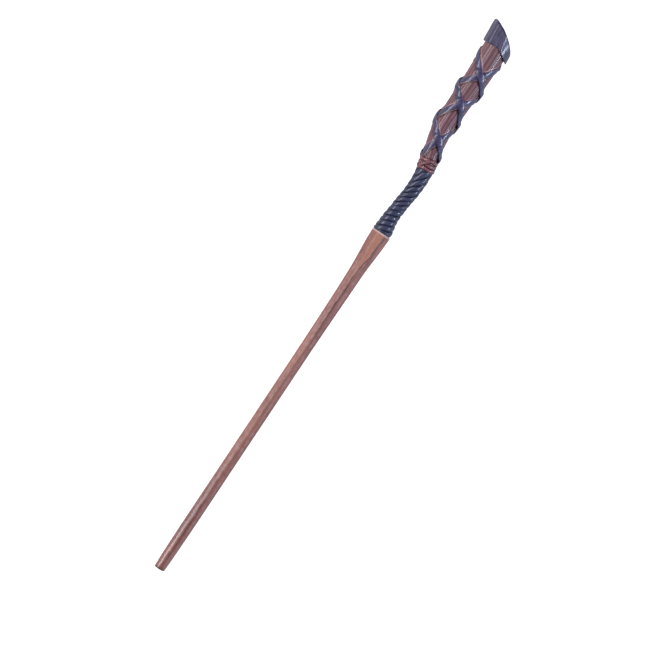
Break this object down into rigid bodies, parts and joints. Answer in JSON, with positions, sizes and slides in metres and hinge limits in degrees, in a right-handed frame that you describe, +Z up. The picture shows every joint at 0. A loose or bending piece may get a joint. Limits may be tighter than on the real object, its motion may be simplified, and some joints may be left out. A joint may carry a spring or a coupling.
{
  "type": "magic wand",
  "caption": "Wooden magic wand with a slim whittled shaft, a cord-wrapped neck, and a crooked grip crossed by leather straps under an oblique end cap.",
  "frame": {"origin": "centre of the bounding box in plan, on the surface that the wand lies on", "axes": "+X runs from the tip to the cap, +Y is the side that the grip bends to, +Z is up"},
  "size_m": [0.3601, 0.0199, 0.0182],
  "materials": {
    "shaft_wood": "whittled hardwood, reddish brown, oiled satin",
    "core_wood": "plain turned hardwood, unfinished",
    "grip_wood": "carved hardwood, dark reddish brown, waxed",
    "rod_steel": "plain drawn rod",
    "neck_cord": "flattened leather cord, slate black, semi gloss",
    "binding_cord": "round leather cord, dark red brown, waxed",
    "strap_leather": "flat strap, slate black grain side with raw tan edges",
    "cap_leather": "moulded hard leather, slate black, satin"
  },
  "bodies": {
    "root": {"shaft": "shaft_wood", "core_rod": "rod_steel", "neck_core": "core_wood", "whipping_1": "neck_cord", "whipping_2": "neck_cord", "whipping_3": "neck_cord", "neck_strand_1": "neck_cord", "neck_strand_2": "neck_cord", "neck_strand_3": "neck_cord", "neck_strand_4": "neck_cord", "neck_strand_5": "neck_cord", "neck_strand_6": "neck_cord", "binding_cord": "binding_cord", "binding_hitch": "binding_cord", "grip_core": "grip_wood", "strap_right_1": "strap_leather", "strap_right_2": "strap_leather", "strap_left_1": "strap_leather", "strap_left_2": "strap_leather", "pommel_cap": "cap_leather"}
  },
  "joints": []
}
